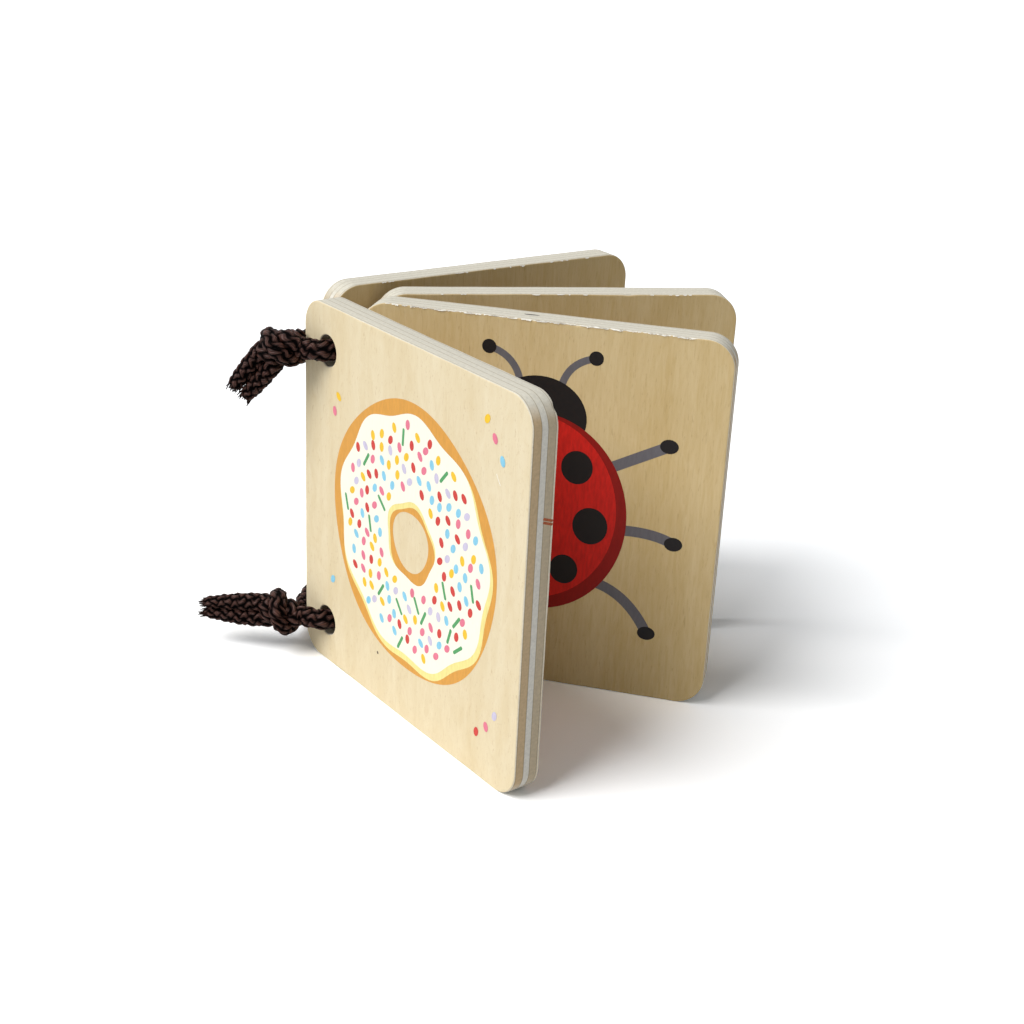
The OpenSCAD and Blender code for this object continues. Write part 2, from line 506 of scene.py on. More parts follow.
@dataclass(frozen=True)
class ScreenInk:
    """Flat screen-printing ink on wood: even colour, slightly broken by the grain under it."""

    name: str
    colour: str
    roughness: float = 0.5
    specular: float = 0.3
    # Spacing of the grain that shows through, in millimetres, and how many times longer it is than wide
    grain_mm: float = 0.5
    grain_drawn: float = 4.0
    mottle: float = 0.1
    bump_mm: float = 0.04

    def build(self) -> bpy.types.Material:
        """Makes the ink's material.

        Returns:
            The material.
        """
        material, tree = new_material("screen_ink_" + self.name)
        place = add_node(tree, "ShaderNodeTexCoord").outputs["Object"]
        drawn = add_node(tree, "ShaderNodeMapping", {
            "Vector": place, "Scale": (1, 1, 1 / self.grain_drawn)}).outputs[0]
        speck = add_node(tree, "ShaderNodeTexNoise", {
            "Vector": drawn, "Scale": 1 / (self.grain_mm * MM), "Detail": 3.0}).outputs[0]
        shade = add_node(tree, "ShaderNodeMapRange", {
            0: speck, "From Min": 0.3, "From Max": 0.7,
            "To Min": 1 - self.mottle, "To Max": 1 + 0.3 * self.mottle}).outputs[0]
        colour = add_node(tree, "ShaderNodeVectorMath", {
            0: linear(self.colour)[:3], 3: shade}, operation="SCALE").outputs[0]
        bump = add_node(tree, "ShaderNodeBump", {
            "Strength": 0.2, "Distance": self.bump_mm * MM, "Height": speck}).outputs[0]
        finish_material(tree, {"Base Color": colour, "Roughness": self.roughness,
                               "Specular IOR Level": self.specular, "Normal": bump})
        return material


@dataclass(frozen=True)
class BraidedCord:
    """Braided polyester cord, dark brown: soft sheen on the crests, painted shade that makes it nearly black
    between the strands, and painted highlights where filaments catch the light.
    """

    crest: str = "#40221A"
    # Colour of the painted shade between the strands
    painted_valley_shade: str = "#030101"
    # Colour of the painted highlight on filaments that catch the light
    fibre: str = "#7A5145"
    roughness: float = 0.46
    # How many filaments show across a strand, fewer and coarser than the real ones so that they can be seen,
    # and how high the bump of one is, in millimetres
    filaments: float = 5.0
    bump_mm: float = 0.12
    # Strand heights between which the colour goes from the painted shade of the valleys to the crest, and
    # the sheen on either
    body_span: tuple[float, float] = (0.45, 1.0)
    sheen: tuple[float, float] = (0.02, 0.3)
    # Size of the patches in which filaments catch the light, painted as highlights in the colour, in
    # millimetres, and how strongly they do
    patch_mm: float = 1.4
    painted_glint_span: tuple[float, float] = (0.05, 0.6)
    painted_glint_share: float = 0.6

    def build(self) -> bpy.types.Material:
        """Makes the cord's material, which reads the strand height and the place across a strand; the height
        paints shade into the valleys between the strands.

        Returns:
            The material.
        """
        material, tree = new_material("braided_polyester_cord")
        height = add_node(tree, "ShaderNodeAttribute", attribute_name="strand_height").outputs["Fac"]
        across = add_node(tree, "ShaderNodeAttribute", attribute_name="strand_across").outputs["Fac"]
        phase = add_node(tree, "ShaderNodeMath", {
            0: across, 1: TURN * self.filaments}, operation="MULTIPLY").outputs[0]
        wave = add_node(tree, "ShaderNodeMath", {0: phase}, operation="SINE").outputs[0]
        # Painted shade: the colour darkens from the crest towards the valleys between the strands
        body = add_node(tree, "ShaderNodeMapRange", {
            0: height, "From Min": self.body_span[0], "From Max": self.body_span[1]}).outputs[0]
        colour = add_node(tree, "ShaderNodeMix", {
            0: body, 6: linear(self.painted_valley_shade), 7: linear(self.crest)}, data_type="RGBA").outputs[2]
        place = add_node(tree, "ShaderNodeTexCoord").outputs["Object"]
        patch = add_node(tree, "ShaderNodeTexNoise", {
            "Vector": place, "Scale": 1 / (self.patch_mm * MM), "Detail": 3.0}).outputs[0]
        # Painted highlight: on the crests, filaments in noise patches are lightened towards the highlight
        # colour
        glint = add_node(tree, "ShaderNodeMath", {0: wave, 1: patch}, operation="MULTIPLY").outputs[0]
        lit = add_node(tree, "ShaderNodeMath", {0: glint, 1: body}, operation="MULTIPLY").outputs[0]
        painted_glint = add_node(tree, "ShaderNodeMapRange", {
            0: lit, "From Min": self.painted_glint_span[0], "From Max": self.painted_glint_span[1],
            "To Max": self.painted_glint_share}).outputs[0]
        colour = add_node(tree, "ShaderNodeMix", {
            0: painted_glint, 6: colour, 7: linear(self.fibre)}, data_type="RGBA").outputs[2]
        bump = add_node(tree, "ShaderNodeBump", {
            "Strength": 0.5, "Distance": self.bump_mm * MM, "Height": wave}).outputs[0]
        sheen = add_node(tree, "ShaderNodeMapRange", {
            0: body, "To Min": self.sheen[0], "To Max": self.sheen[1]}).outputs[0]
        finish_material(tree, {"Base Color": colour, "Roughness": self.roughness, "Normal": bump,
                               "Specular IOR Level": sheen})
        return material


# Boards

@dataclass
class Wear:
    """A chip on a board's edge, in millimetres: its middle round the outline, its reach and its depth."""

    place: float
    reach: float
    depth: float


@dataclass
class Board:
    """One plywood board with rounded corners, eased edges and two cord holes."""

    leaf: Leaf
    stand: Stand
    sizes: BookSizes
    front_wear: list[Wear] = field(default_factory=list)
    back_wear: list[Wear] = field(default_factory=list)
    # How far the edges are rounded, and the uneven sanding of them as waves: share of the radius and length
    ease: float = 0.32
    long_wave: tuple[float, float] = (0.18, 7.3)
    short_wave: tuple[float, float] = (0.12, 2.1)
    # How far the waves shift from board to board and from the front edge to the back edge, in radians
    board_shift: float = 1.7
    back_shift: float = 1.1
    outline_step: float = 0.5
    hole_points: int = 72
    ease_steps: int = 4

    def outline(self) -> tuple[np.ndarray, np.ndarray, np.ndarray]:
        """Points round the board's edge, from the start of the lower edge towards the fore edge.

        A straight run and a quarter circle for each side, in turn.

        Returns:
            The points, their outward directions and their distance round the edge, in millimetres.
        """
        s = self.sizes
        r = s.corner_r
        centres = np.array([[s.board_w - r, r], [s.board_w - r, s.board_h - r], [r, s.board_h - r], [r, r]])
        points, normals = [], []
        for k, centre in enumerate(centres):
            first = k * math.pi / 2 - math.pi / 2
            out = np.array([math.cos(first), math.sin(first)])
            last_centre = centres[k - 1]
            run = np.linalg.norm(centre - last_centre)
            share = np.arange(0, run, self.outline_step)[:, None] / run
            points.append(last_centre + r * out + share * (centre - last_centre))
            normals.append(np.repeat(out[None], len(share), axis=0))
            angle = first + np.arange(0, math.pi / 2, self.outline_step / r)
            arc = np.stack([np.cos(angle), np.sin(angle)], axis=1)
            points.append(centre + r * arc)
            normals.append(arc)
        points = np.concatenate(points)
        steps = np.linalg.norm(np.roll(points, -1, axis=0) - points, axis=1)
        return points, np.concatenate(normals), np.concatenate([[0], np.cumsum(steps)[:-1]])

    def easing(self, along: np.ndarray, wear: list[Wear], phase: float) -> np.ndarray:
        """How far an edge is rounded: a radius varied by two waves of sanding, and a bell curve per chip.

        Args:
            along: distance round the outline of each place, in millimetres.
            wear: the edge's chips.
            phase: where the waves begin, in radians.

        Returns:
            The radius at each place.
        """
        (long_share, long_l), (short_share, short_l) = self.long_wave, self.short_wave
        sanded = (1 + long_share * np.sin(along / long_l + phase)
                  + short_share * np.sin(along / short_l + 2 * phase))
        radius = self.ease * sanded
        for mark in wear:
            radius = radius + mark.depth * np.exp(-((along - mark.place) / mark.reach) ** 2)
        return radius

    def profile(self, front: np.ndarray, back: np.ndarray) -> tuple[np.ndarray, np.ndarray]:
        """Insets and depths across the edge: a quarter circle, the flat of the edge and a quarter circle.

        Args:
            front: the front edge's radius at each place.
            back: the back edge's radius at each place.

        Returns:
            Insets from the outline and depths from the front face, places by steps.
        """
        a = np.linspace(0, math.pi / 2, self.ease_steps + 1)
        inset = np.concatenate([front[:, None] * (1 - np.sin(a)), back[:, None] * (1 - np.cos(a))], axis=1)
        depth = np.concatenate([front[:, None] * (1 - np.cos(a)),
                                self.sizes.board_t - back[:, None] * (1 - np.sin(a))], axis=1)
        return inset, depth

    def build(self, material: bpy.types.Material) -> bpy.types.Object:
        """Makes the board's mesh: its rim, its two hole walls and its two faces.

        Args:
            material: the board's plywood.

        Returns:
            The board, fixed to its body.
        """
        s = self.sizes
        edge, out, along = self.outline()
        phase = self.board_shift * self.leaf.value
        inset, depth = self.profile(self.easing(along, self.front_wear, phase),
                                    self.easing(along, self.back_wear, phase + self.back_shift))
        flat = edge[:, None, :] - inset[..., None] * out[:, None, :]
        rim = np.stack([flat[..., 0], depth, flat[..., 1]], axis=-1)
        columns = rim.shape[1]
        parts = [rim.reshape(-1, 3)]
        faces = [Faces(grid_faces(len(edge), columns, flip=True))]
        loops = [np.arange(len(edge)) * columns]
        count = len(edge) * columns
        turn = np.arange(self.hole_points) * TURN / self.hole_points
        around = np.stack([np.cos(turn), np.sin(turn)], axis=1)
        eased = np.full(self.hole_points, self.ease)
        for up in (s.hole_end, s.board_h - s.hole_end):
            inset, depth = self.profile(eased, eased)
            flat = np.array([s.hole_inset, up]) + (s.hole_d / 2 + inset[..., None]) * around[:, None, :]
            wall = np.stack([flat[..., 0], depth, flat[..., 1]], axis=-1)
            parts.append(wall.reshape(-1, 3))
            faces.append(Faces(grid_faces(self.hole_points, columns, first=count)))
            loops.append(count + np.arange(self.hole_points) * columns)
            count += self.hole_points * columns
        local = np.concatenate(parts)
        plane = local[:, ::2]
        for shift, is_front in ((0, True), (columns - 1, False)):
            rings = [ring + shift for ring in loops]
            corners = np.concatenate(rings)[filled([plane[ring] for ring in rings])]
            faces.append(Faces(turned_right(plane, corners, is_front), smooth=False))
        piece = make_piece(self.leaf.node + "_ply", self.stand.to_row(local), faces, [material])
        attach(piece, self.leaf.node)
        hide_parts(self.leaf.node)
        return piece


# Printed pictures

@dataclass
class Shape:
    """A flat shape of one ink: its points on the side, in millimetres, and its layer above the wood."""

    points: np.ndarray
    ink: str
    layer: int
    # Of a band between two outlines, how many points each of them has
    ring: int = 0


def ellipse(centre: tuple[float, float], half: tuple[float, float], angle: float = 0.0,
            n: int = 20) -> np.ndarray:
    """Points round an ellipse, turned by an angle.

    Args:
        centre: its middle.
        half: its two half axes.
        angle: how far it is turned, in radians.
        n: number of points.

    Returns:
        The points.
    """
    t = np.arange(n) * TURN / n
    flat = np.stack([half[0] * np.cos(t), half[1] * np.sin(t)], axis=1)
    turn = np.array([[math.cos(angle), math.sin(angle)], [-math.sin(angle), math.cos(angle)]])
    return np.array(centre) + flat @ turn


def stroke(spine: np.ndarray, width: float) -> np.ndarray:
    """A round-ended stroke along a line: half its width to either side, and half a circle at either end.

    Args:
        spine: points along the middle of the stroke.
        width: its width.

    Returns:
        The points of its outline.
    """
    ahead = np.gradient(spine, axis=0)
    ahead /= np.linalg.norm(ahead, axis=1, keepdims=True)
    side = np.stack([-ahead[:, 1], ahead[:, 0]], axis=1) * width / 2
    cap = np.linspace(0, math.pi, 7)[1:-1]
    ends = []
    for point, way in ((spine[-1], ahead[-1]), (spine[0], -ahead[0])):
        base = math.atan2(way[1], way[0]) - math.pi / 2
        ends.append(point + width / 2 * np.stack([np.cos(base + cap), np.sin(base + cap)], axis=1))
    return np.concatenate([spine - side, ends[0], (spine + side)[::-1], ends[1]])


def curve(start: tuple[float, float], bend: tuple[float, float], end: tuple[float, float],
          n: int = 12) -> np.ndarray:
    """Points along a parabola.

    Args:
        start: its first point.
        bend: the point that it is pulled towards.
        end: its last point.
        n: number of points.

    Returns:
        The points.
    """
    t = np.linspace(0, 1, n)[:, None]
    return (1 - t) ** 2 * np.array(start) + 2 * t * (1 - t) * np.array(bend) + t ** 2 * np.array(end)


class Side(Enum):
    """The sides of a board that carry print or marks, by the directions of a shape's two axes.

    A direction is given along, back and up. The arris is the slant between front face and upper edge.
    """

    FRONT = ((1, 0, 0), (0, 0, 1))
    TOP = ((1, 0, 0), (0, 1, 0))
    FORE = ((0, 1, 0), (0, 0, 1))
    ARRIS = ((1, 0, 0), (0, 0.6, 0.8))


@dataclass
class Picture:
    """Print or marks on one side of a board: shapes of ink in thin layers over the wood."""

    name: str
    leaf: Leaf
    stand: Stand
    sizes: BookSizes
    inks: dict[str, bpy.types.Material]
    side: Side = Side.FRONT
    film: float = 0.012
    # Where the slant of the arris touches the wood: back from the front face, down from the upper edge
    arris: tuple[float, float] = (0.03, 0.12)
    # Torn slivers: their least length, how ragged the row of them is, and their depths
    sliver_l: float = 0.25
    sliver_drift: float = 1.5
    sliver_depths: tuple[float, float] = (0.14, 0.34)
    shapes: list[Shape] = field(default_factory=list)

    def draw(self, points: np.ndarray, ink: str, layer: int) -> None:
        """Adds one filled outline."""
        self.shapes.append(Shape(points, ink, layer))

    def splinters(self, count: int, span: tuple[float, float], ink: str, seed: int) -> None:
        """Draws torn slivers of veneer along the upper edge: short jagged flakes, in clusters.

        Args:
            count: how many slivers.
            span: where they begin and end along the edge, in millimetres.
            ink: their colour.
            seed: picks their places and sizes.
        """
        rng = np.random.default_rng(seed)
        places = rng.uniform(*span, count)
        places = places + self.sliver_drift * np.sin(places / 4.1)
        lengths = rng.gamma(2.0, 0.4, count) + self.sliver_l
        depths = rng.uniform(*self.sliver_depths, count)
        for x, long, deep in zip(places, lengths, depths):
            top = rng.uniform(0.0, 0.12)
            low = top - deep * rng.uniform(0.5, 1.2, 3)
            self.draw(np.array([[x, top], [x + 0.15 * long, low[0]], [x + 0.5 * long, low[1]],
                                [x + 0.8 * long, low[2]], [x + long, top]]), ink, 0)

    def draw_ring(self, outer: np.ndarray, inner: np.ndarray, ink: str, layer: int) -> None:
        """Adds the band between two outlines with as many points each."""
        self.shapes.append(Shape(np.concatenate([outer, inner]), ink, layer, ring=len(outer)))

    def lifted(self, flat: np.ndarray, layer: int) -> np.ndarray:
        """Puts points of a shape on the side, a film's thickness above the layer under it.

        Args:
            flat: the points, by the side's two axes.
            layer: the shape's layer, from 0 on the wood.

        Returns:
            The points as (along, back, up), in millimetres.
        """
        s = self.sizes
        bases = {Side.FRONT: (0, 0, 0), Side.TOP: (0, 0, s.board_h), Side.FORE: (s.board_w, 0, 0),
                 Side.ARRIS: (0, self.arris[0], s.board_h - self.arris[1])}
        axes = np.array(self.side.value, dtype=float)
        out = np.cross(axes[0], axes[1])
        return np.array(bases[self.side]) + self.film * (layer + 1) * out + flat @ axes

    def build(self) -> bpy.types.Object:
        """Makes the print's mesh, with one material for each ink, and fixes it to its board.

        Returns:
            The print.
        """
        names = sorted({shape.ink for shape in self.shapes})
        points, faces = [], []
        count = 0
        for shape in self.shapes:
            flat = shape.points
            points.append(self.lifted(flat, shape.layer))
            if shape.ring:
                i = np.arange(shape.ring)
                j = (i + 1) % shape.ring
                corners = np.stack([i, j, j + shape.ring, i + shape.ring], axis=1)
            else:
                corners = filled([flat])
            corners = turned_right(flat, corners)
            faces.append(Faces(count + corners, smooth=False, material=names.index(shape.ink)))
            count += len(flat)
        piece = make_piece(self.name, self.stand.to_row(np.concatenate(points)), faces,
                           [self.inks[n] for n in names])
        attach(piece, self.leaf.node)
        return piece


@dataclass
class IcedRing:
    """The front cover's picture: a round iced bun with a hole, strewn with sugar sprinkles."""

    centre: tuple[float, float] = (40.5, 40.0)
    crust_r: float = 28.4
    icing_r: float = 25.8
    hole_r: float = 6.2
    icing_hole_r: float = 8.3
    sprinkles: int = 168
    seed: int = 11
    dot: tuple[float, float] = (0.72, 1.05)
    strand_l: float = 3.0
    strand_w: float = 0.72
    outline_points: int = 180
    # How far the sprinkles stay from the icing's rims, how uneven their spiral is, and how far they turn
    margin: float = 2.0
    uneven: tuple[float, float] = (0.015, 0.2)
    most_turn: float = 0.9
    dot_inks: tuple[str, ...] = (
        "red", "yellow", "pink", "sky", "red", "yellow", "lilac", "sky", "pink", "green")
    strays: tuple[tuple[float, float, str], ...] = (
        (13.5, 62.0, "yellow"), (12.0, 58.5, "pink"), (66.5, 70.0, "pink"), (69.0, 66.5, "sky"),
        (64.0, 73.0, "yellow"), (67.5, 12.0, "pink"), (70.0, 15.5, "lilac"), (64.5, 9.5, "red"),
        (11.5, 20.5, "sky"))

    def loop(self, radius: float, waves: int, swing: float, phase: float = 0.0,
             shift: tuple[float, float] = (0.0, 0.0)) -> np.ndarray:
        """A circle whose radius swings by a few waves.

        Args:
            radius: its mean radius.
            waves: how many waves it has.
            swing: how far the radius swings.
            phase: where the waves begin, in radians.
            shift: how far its middle is from the picture's.

        Returns:
            The points.
        """
        t = np.arange(self.outline_points) * TURN / self.outline_points
        r = radius + swing * np.sin(waves * t + phase)
        middle = np.array(self.centre) + np.array(shift)
        return middle + r[:, None] * np.stack([np.cos(t), np.sin(t)], axis=1)

    def draw(self, picture: Picture) -> None:
        """Draws the crust, the shaded lower icing, the icing and the sprinkles along a sunflower spiral.

        Args:
            picture: takes the shapes.
        """
        picture.draw_ring(self.loop(self.crust_r, 5, 0.35), self.loop(self.hole_r, 3, 0.2), "crust", 0)
        picture.draw_ring(self.loop(self.icing_r + 0.5, 9, 0.7, 0.4, (0.5, -0.9)),
                          self.loop(self.icing_hole_r - 0.5, 5, 0.4, 1.0, (0.3, -0.6)), "butter", 1)
        picture.draw_ring(self.loop(self.icing_r, 9, 0.75, 0.4),
                          self.loop(self.icing_hole_r, 5, 0.45, 1.0), "icing", 2)
        rng = np.random.default_rng(self.seed)
        n = np.arange(self.sprinkles)
        low, high = self.icing_hole_r + self.margin, self.icing_r - self.margin
        r = np.sqrt(low ** 2 + (high ** 2 - low ** 2) * (n + 0.5) / self.sprinkles)
        a = n * math.pi * (3 - math.sqrt(5)) + rng.normal(0, self.uneven[0], self.sprinkles)
        r = r + rng.normal(0, self.uneven[1], self.sprinkles)
        spots = np.array(self.centre) + r[:, None] * np.stack([np.cos(a), np.sin(a)], axis=1)
        turns = rng.uniform(-self.most_turn, self.most_turn, self.sprinkles)
        picks = rng.permutation(self.sprinkles) % len(self.dot_inks)
        for spot, turn, pick in zip(spots, turns, picks):
            self.sprinkle(picture, spot, turn, self.dot_inks[pick])
        for x, y, ink in self.strays:
            self.sprinkle(picture, np.array([x, y]), rng.uniform(-self.most_turn, self.most_turn), ink)

    def sprinkle(self, picture: Picture, spot: np.ndarray, turn: float, ink: str) -> None:
        """Draws one sprinkle: a short strand if green, otherwise an oval dot.

        Args:
            picture: takes the shape.
            spot: the sprinkle's middle.
            turn: how far it is turned, in radians.
            ink: its colour.
        """
        if ink == "green":
            way = np.array([math.sin(turn), math.cos(turn)]) * self.strand_l / 2
            picture.draw(stroke(np.linspace(spot - way, spot + way, 4), self.strand_w), ink, 3)
        else:
            picture.draw(ellipse(tuple(spot), self.dot, turn, 14), ink, 3)


@dataclass
class Beetle:
    """The second board's picture: a round red spotted beetle seen from above, with grey legs."""

    centre: tuple[float, float] = (38.5, 39.0)
    body: tuple[float, float] = (19.5, 22.0)
    head_r: float = 8.6
    leg_w: float = 2.3
    foot_r: float = 1.9
    feeler_w: float = 1.5
    seam_w: float = 1.1
    # Each spot beside the seam: sideways, up and radius
    spots: tuple[tuple[float, float, float], ...] = ((8.5, 11.0, 3.3), (12.0, -1.5, 3.7), (7.0, -12.0, 3.0))
    # Each leg: its hip's rise, its reach and its foot's lift above the hip
    legs: tuple[tuple[float, float, float], ...] = (
        (11.0, 27.0, 7.0), (-2.0, 29.5, -1.0), (-14.0, 25.5, -10.0))

    def draw(self, picture: Picture) -> None:
        """Draws legs, feelers, head, shell, its shaded rim, seam and spots.

        Args:
            picture: takes the shapes.
        """
        cx, cy = self.centre
        a, b = self.body
        for side in (-1, 1):
            for rise, reach, lift in self.legs:
                knee = (cx + side * reach * 0.82, cy + rise + 0.35 * lift + 2.0)
                foot = (cx + side * reach, cy + rise + lift)
                hip = (cx + side * a * 0.7, cy + rise)
                picture.draw(stroke(curve(hip, knee, foot), self.leg_w), "steel_grey", 0)
                picture.draw(ellipse(foot, (self.foot_r, self.foot_r * 0.8)), "black", 1)
            root = (cx + side * 4.0, cy + b + 4.0)
            bend = (cx + side * 4.5, cy + b + 11.0)
            tip = (cx + side * 11.0, cy + b + 12.5)
            picture.draw(stroke(curve(root, bend, tip), self.feeler_w), "steel_grey", 0)
            picture.draw(ellipse(tip, (self.feeler_w, self.feeler_w)), "black", 1)
        picture.draw(ellipse((cx, cy + b - 1.0), (self.head_r * 1.15, self.head_r), n=48), "black", 1)
        picture.draw(ellipse(self.centre, self.body, n=96), "deep_red", 2)
        picture.draw(ellipse((cx - 0.9, cy + 1.0), (a - 1.3, b - 1.5), n=96), "shell_red", 3)
        picture.draw(stroke(np.linspace((cx, cy + b - 0.6), (cx, cy - b + 0.6), 5), self.seam_w), "black", 4)
        for side in (-1, 1):
            for x, y, r in self.spots:
                picture.draw(ellipse((cx + side * x, cy + y), (r, r * 1.1), n=32), "black", 4)


# Cords

@dataclass
class Stretch:
    """A stretch of cord between two points of its route, and the two bodies that it lies between."""

    name: str
    first: float
    last: float
    bodies: tuple[Leaf, Leaf]
    # Its share along the cord that follows the first body wholly, and straight across the second one
    held: float = 0.08
    joined: float = 0.08


@dataclass(frozen=True)
class Knot:
    """How one cord's knot and tails hang, in millimetres and radians.

    The fields are the height of its holes, the knot's rise above them, the lean of the knot, the drop of the
    tails, the tails' length and the diameter of their ends.
    """

    up: float
    rise: float
    lean: float
    drop: float
    tail_l: float
    tip_d: float


class Strand(Enum):
    """The two strands of a knot, by the side of its axis on which each one enters."""

    CORE = math.pi
    WRAP = 0.0


@dataclass
class Cord:
    """One binding cord: through the boards' holes, round the spine, a knot of two strands and two tails."""

    name: str
    knot: Knot
    fan: Fan
    sizes: BookSizes
    material: bpy.types.Material
    seed: int
    # The way through the boards and round the spine, in millimetres: board, along from the hole, back from
    # the front face, rise above the hole
    threading: tuple[tuple[int, float, float, float], ...] = (
        (0, -4.4, -3.4, 0), (0, -0.8, -0.9, 0), (0, 0.2, 3.2, 0), (0, 1.8, 7.0, 0),
        (1, -3.7, -2.0, 0), (1, -0.6, -0.4, 0), (1, 1.0, 3.0, 0), (1, 1.4, 7.0, 0),
        (2, 0.2, 1.3, 0), (2, -0.2, 5.1, 0), (2, -2.5, 7.6, 0),
        (3, 3.0, -2.0, 0), (3, 0.5, 0.4, 0), (3, -0.4, 4.6, 0), (3, -2.1, 8.0, -0.4), (3, -5.6, 9.4, -1.6),
        (3, -9.7, 8.8, -3.2), (3, -13.1, 6.1, -4.2), (3, -15.9, 2.8, -4.6), (3, -18.4, -0.1, -3.0))
    pinched: tuple[int, int] = (3, 12)
    # From the front cover's spine corner to the knot's start
    knot_offset: tuple[float, float] = (-1.1, -4.2)
    knot_turns: float = 1.25
    knot_steps: int = 12
    tail_steps: int = 3
    strand_gap: float = 0.3
    ring_step: float = 0.2
    fine_steps: int = 40
    sides: int = 44
    # The braid: strands each way round, length of one crossing and height of the relief, in millimetres
    strands: int = 6
    crossing: float = 3.2
    relief: float = 0.6
    # Height of the relief, from 0 to 1, that lies on the cord's diameter
    mean_height: float = 0.62
    # How far the strands wander from an even braid, and how often in a millimetre, in radians
    wander: tuple[float, float] = (0.16, 0.12)
    wander_rate: tuple[float, float] = (2.1, 3.7)
    # Loose strands make the knot and tails look this much thicker, and the wrap stand out further
    plump: float = 0.35
    fullness: float = 0.5
    # Length over which a cut end rounds off, and the places over which a tail's direction is taken
    tip_l: float = 1.1
    tip_places: int = 8
    # Loose fibres at a cut end: how many, how deep they root, the least length and what a tuft adds to it
    frays: int = 34
    fray_root: float = 1.3
    fray_l: tuple[float, float] = (1.1, 1.1)
    # How far they spread outwards and any way, how far they droop, their thickness and how much it tapers
    fray_spread: tuple[float, float] = (0.22, 0.12)
    fray_droop: float = 0.2
    fray_half: tuple[float, float] = (0.14, 0.3)
    fray_taper: float = 0.7
    # Strand height that the loose fibres take, which gives them part of the painted valley shade
    fray_height: float = 0.6
    # Evenly spaced places along the cord: number along the route, point, diameter and distance from the tip
    at: np.ndarray = field(init=False)
    line: np.ndarray = field(init=False)
    width: np.ndarray = field(init=False)
    far: np.ndarray = field(init=False)

    def __post_init__(self) -> None:
        """Works out the places along the whole cord."""
        route = self.route()
        fine = np.linspace(0, len(route) - 1, self.fine_steps * len(route))
        curve_points = self.smooth(route, fine)
        steps = np.linalg.norm(np.diff(curve_points, axis=0), axis=1)
        distance = np.concatenate([[0], np.cumsum(steps)])
        self.far = np.linspace(0, distance[-1], int(distance[-1] / self.ring_step) + 1)
        self.at = np.interp(self.far, distance, fine)
        self.line = self.smooth(route, self.at)
        self.width = self.smooth(self.widths(len(route))[:, None].astype(float), self.at)[:, 0]

    def ways(self, angle: float) -> tuple[np.ndarray, np.ndarray]:
        """Directions along a knot or tail that leans down by an angle, and square to that."""
        return (np.array([-math.cos(angle), 0, -math.sin(angle)]),
                np.array([-math.sin(angle), 0, math.cos(angle)]))

    @property
    def knot_points(self) -> int:
        """How many of the route's points lie in one strand of the knot and its tail."""
        return self.knot_steps + 1 + self.tail_steps

    def side(self, diameter: float) -> float:
        """Distance of a strand's middle from the middle of the pair, for strands of this diameter."""
        return (diameter + self.strand_gap) / 2

    def half(self, strand: Strand) -> np.ndarray:
        """One strand of the knot, a helix about its axis from the spine on, and its straight tail.

        The wrapping strand swells outwards in the middle of the knot as the core strand draws in.

        Args:
            strand: which of the two.

        Returns:
            Its points, from the spine to the tip.
        """
        s = self.sizes
        corner = self.fan[Leaf.FRONT_COVER].corner
        start = np.array([*(corner + np.array(self.knot_offset)), self.knot.up + self.knot.rise])
        ahead, above = self.ways(self.knot.lean)
        share = np.linspace(0, 1, self.knot_steps + 1)[:, None]
        turn = strand.value - TURN * self.knot_turns * share
        swell = s.knot_swell + self.fullness if strand is Strand.WRAP else -s.knot_swell
        r = self.side(s.knot_d) + swell * np.sin(math.pi * share)
        around = np.cos(turn) * np.array([0, 1, 0]) + np.sin(turn) * above
        wound = start + s.knot_l * share * ahead + r * around
        down, out = self.ways(self.knot.drop)
        share = np.arange(1, self.tail_steps + 1)[:, None] / self.tail_steps
        apart = self.side(s.knot_d) + (self.side(self.knot.tip_d) - self.side(s.knot_d)) * share ** 2
        side = -apart if strand is Strand.WRAP else apart
        tail = start + s.knot_l * ahead + side * out + self.knot.tail_l * share * down
        return np.concatenate([wound, tail])

    def route(self) -> np.ndarray:
        """Joins one strand of the knot, the way through boards and round the spine, and the other strand.

        Returns:
            The cord's own points from one tail's tip to the other's, in millimetres.
        """
        through = []
        for k, along, back, rise in self.threading:
            local = np.array([self.sizes.hole_inset + along, back, self.knot.up + rise])
            through.append(self.fan.stands[k].to_row(local) / MM)
        return np.concatenate([self.half(Strand.CORE)[::-1], np.array(through), self.half(Strand.WRAP)])

    def widths(self, count: int) -> np.ndarray:
        """The diameter at each of the route's points: less in the knot, between boards and at the tips.

        Args:
            count: how many points the route has.

        Returns:
            The diameters, in millimetres.
        """
        s = self.sizes
        i = np.arange(count)
        inner = np.minimum(i, count - 1 - i)
        first = self.knot_points
        between = (i >= first + self.pinched[0]) & (i <= first + self.pinched[1])
        waist = (self.knot.tip_d + s.knot_d) / 2 + self.plump
        return np.select([inner == 0, inner == 1, inner < first, between],
                         [self.knot.tip_d, waist, s.knot_d + self.plump, s.pinched_d], s.cord_d)

    def smooth(self, values: np.ndarray, at: np.ndarray) -> np.ndarray:
        """Catmull-Rom curve through a list of values: each span is a cubic with the neighbours' slopes.

        Args:
            values: one row for each point of the route.
            at: places along the list, a whole number at each point.

        Returns:
            One row for each place.
        """
        last = len(values) - 1
        i = np.clip(np.floor(at).astype(int), 0, last - 1)
        t = (at - i)[:, None]
        p0, p1 = values[np.maximum(i - 1, 0)], values[i]
        p2, p3 = values[i + 1], values[np.minimum(i + 2, last)]
        m1, m2 = (p2 - p0) / 2, (p3 - p1) / 2
        return ((2 * t ** 3 - 3 * t ** 2 + 1) * p1 + (t ** 3 - 2 * t ** 2 + t) * m1
                + (-2 * t ** 3 + 3 * t ** 2) * p2 + (t ** 3 - t ** 2) * m2)

